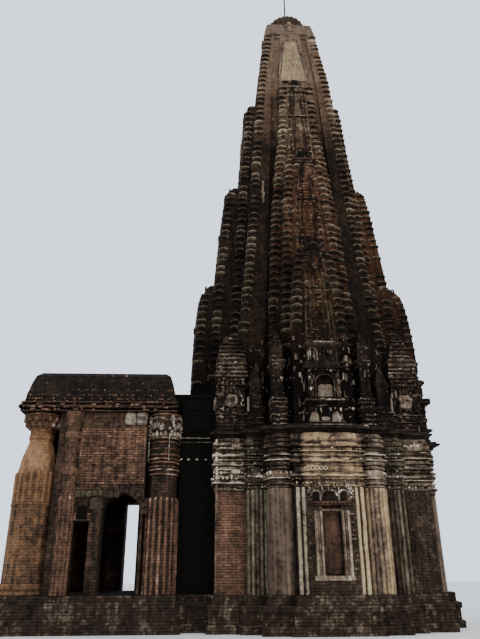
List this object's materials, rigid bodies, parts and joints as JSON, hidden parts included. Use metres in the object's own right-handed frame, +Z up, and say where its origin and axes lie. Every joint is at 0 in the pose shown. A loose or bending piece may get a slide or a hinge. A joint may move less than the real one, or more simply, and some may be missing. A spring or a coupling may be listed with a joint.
{
  "type": "hindu temple",
  "caption": "Ruined brick and lime Hindu temple: a square sanctum under a tall tiered spire, a passage and a small vaulted hall with an entrance stair.",
  "frame": {"origin": "on the ground under the axis of the tower", "axes": "+Z up along the tower; -Y faces the side wall with the blind niche; -X points to the passage, the hall and the entrance"},
  "size_m": [14.6103, 8.5, 27],
  "materials": {
    "lime_render": "old lime render, pale grey to cream on the raised mouldings, streaked black",
    "weathered_brick": "brick and lime gone black-brown with weathering and dry growth",
    "red_brick": "bare red-brown brick, rough, with traces of lime",
    "tan_render": "tan and cream lime render, worn and stained",
    "iron": "rusted iron rod"
  },
  "bodies": {
    "root": {"sanctum_plinth": "weathered_brick", "corner_pier_sw": "lime_render", "corner_pier_se": "lime_render", "corner_pier_ne": "lime_render", "corner_pier_nw": "lime_render", "south_wall": "tan_render", "east_wall": "tan_render", "north_wall": "tan_render", "west_wall_left": "weathered_brick", "west_wall_right": "weathered_brick", "west_wall_lintel": "weathered_brick", "main_cornice": "weathered_brick", "main_spire": "weathered_brick", "upper_half_spire_south": "weathered_brick", "middle_half_spire_south": "red_brick", "lower_half_spire_south": "weathered_brick", "upper_half_spire_east": "weathered_brick", "middle_half_spire_east": "red_brick", "lower_half_spire_east": "weathered_brick", "upper_half_spire_north": "weathered_brick", "middle_half_spire_north": "red_brick", "lower_half_spire_north": "weathered_brick", "upper_half_spire_west": "weathered_brick", "middle_half_spire_west": "red_brick", "lower_half_spire_west": "weathered_brick", "corner_turret_sw": "weathered_brick", "corner_turret_se": "weathered_brick", "corner_turret_ne": "weathered_brick", "corner_turret_nw": "weathered_brick", "balcony_south": "lime_render", "balcony_east": "lime_render", "balcony_north": "lime_render", "neck_band": "tan_render", "cap_dome": "weathered_brick", "finial_rod": "iron", "hall_plinth": "weathered_brick", "entrance_steps": "weathered_brick", "passage_wall_south": "weathered_brick", "passage_wall_north": "weathered_brick", "passage_roof": "weathered_brick", "hall_pier_se": "red_brick", "hall_pier_ne": "red_brick", "hall_pier_sw": "red_brick", "hall_pier_nw": "red_brick", "hall_wall_south": "red_brick", "hall_wall_north": "red_brick", "hall_wall_west": "red_brick", "hall_cornice": "weathered_brick", "hall_roof": "weathered_brick"}
  },
  "joints": []
}
